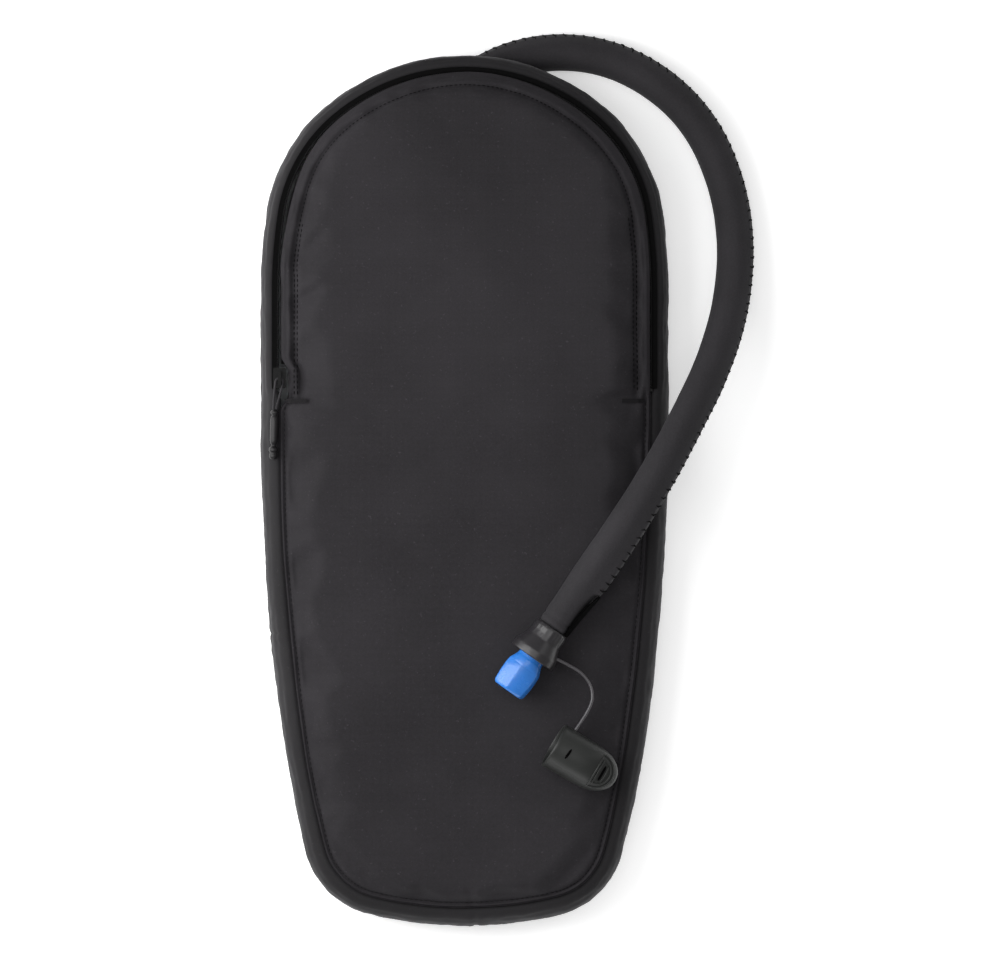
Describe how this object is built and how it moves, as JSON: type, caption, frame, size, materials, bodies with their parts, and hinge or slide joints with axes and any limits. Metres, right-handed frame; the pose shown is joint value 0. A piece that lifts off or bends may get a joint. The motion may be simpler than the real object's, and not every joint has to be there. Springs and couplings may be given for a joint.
{
  "type": "hydration bladder",
  "caption": "Soft insulated drinking reservoir sleeve with a zipped front flap, an inner bladder, and a padded hose ending in a capped bite valve.",
  "frame": {"origin": "on the surface that the bag lies on, under the middle of the bag", "axes": "+Z out of the front panel, +Y towards the bag's rounded top end, +X to the right seen from the front"},
  "size_m": [0.2662, 0.4817, 0.0714],
  "materials": {
    "shell_fabric": "matte",
    "padding_foam": "matte",
    "zip_tape": "matte",
    "zip_coil": "satin",
    "slider_metal": "satin",
    "pull_cord": "matte",
    "pull_grip": "satin",
    "stitch_thread": "matte",
    "boot_rubber": "matte",
    "hose_cover": "matte",
    "tube_film": "gloss",
    "bladder_film": "gloss",
    "port_plastic": "satin",
    "cap_plastic": "satin",
    "seal_rubber": "matte",
    "fitting_plastic": "satin",
    "spring_steel": "satin",
    "button_plastic": "satin",
    "collar_rubber": "satin",
    "valve_silicone": "satin",
    "cap_rubber": "satin"
  },
  "bodies": {
    "sleeve": {"back_panel": "shell_fabric", "back_foam": "padding_foam", "side_gusset": "shell_fabric", "gusset_foam": "padding_foam", "front_panel": "shell_fabric", "front_foam": "padding_foam", "zip_tape_shell": "zip_tape", "zip_teeth_shell": "zip_coil", "zip_stops": "slider_metal", "bar_tacks": "stitch_thread", "hose_boot": "boot_rubber", "bladder": "bladder_film", "fill_port_ring": "port_plastic", "port_handle": "port_plastic", "exit_port": "fitting_plastic", "check_poppet": "port_plastic", "poppet_spring": "spring_steel", "tube_coupler": "fitting_plastic", "coupler_seal": "seal_rubber", "button_spring": "spring_steel", "drinking_tube": "tube_film", "hose_cover": "hose_cover", "valve_adaptor": "fitting_plastic"},
    "flap": {"front_flap": "shell_fabric", "flap_foam": "padding_foam", "zip_tape_flap": "zip_tape", "zip_teeth_flap": "zip_coil"},
    "zip_slider": {"zip_slider": "slider_metal"},
    "zip_pull": {"pull_cord": "pull_cord", "pull_grip": "pull_grip"},
    "fill_cap": {"fill_cap": "cap_plastic", "cap_gasket": "seal_rubber"},
    "release_button": {"release_button": "button_plastic"},
    "bite_valve": {"bite_valve": "valve_silicone"},
    "valve_cap": {"tether_collar": "collar_rubber", "valve_tether": "cap_rubber", "valve_cap": "cap_rubber"}
  },
  "joints": [
    {"name": "flap_open", "type": "hinge", "parent": "sleeve", "child": "flap", "pos_m": [0, 0.052, 0.0453], "axis": [1, 0, 0], "range_deg": [0, 120]},
    {"name": "zip_slide", "type": "slide", "parent": "sleeve", "child": "zip_slider", "axis": [0, 1, 0], "range_m": [0, 0.042]},
    {"name": "zip_pull_flip", "type": "hinge", "parent": "zip_slider", "child": "zip_pull", "pos_m": [-0.0997, 0.0606, 0.0422], "axis": [-1, 0, 0], "range_deg": [0, 150]},
    {"name": "fill_cap_turn", "type": "hinge", "parent": "sleeve", "child": "fill_cap", "pos_m": [0, 0.1, 0.035], "axis": [0, 0, 1], "range_deg": [0, 90]},
    {"name": "release_button_press", "type": "slide", "parent": "sleeve", "child": "release_button", "axis": [-1, 0, 0], "range_m": [0, 0.0014], "stiffness_N_per_m": 900, "deforming": ["button_spring"]},
    {"name": "bite_valve_turn", "type": "hinge", "parent": "sleeve", "child": "bite_valve", "pos_m": [0.0475, -0.0735, 0.0584], "axis": [-0.5812, -0.8137, 0], "continuous": true},
    {"name": "valve_cap_swing", "type": "hinge", "parent": "sleeve", "child": "valve_cap", "pos_m": [0.0475, -0.0735, 0.0584], "axis": [-0.5812, -0.8137, 0], "range_deg": [0, 150]}
  ]
}
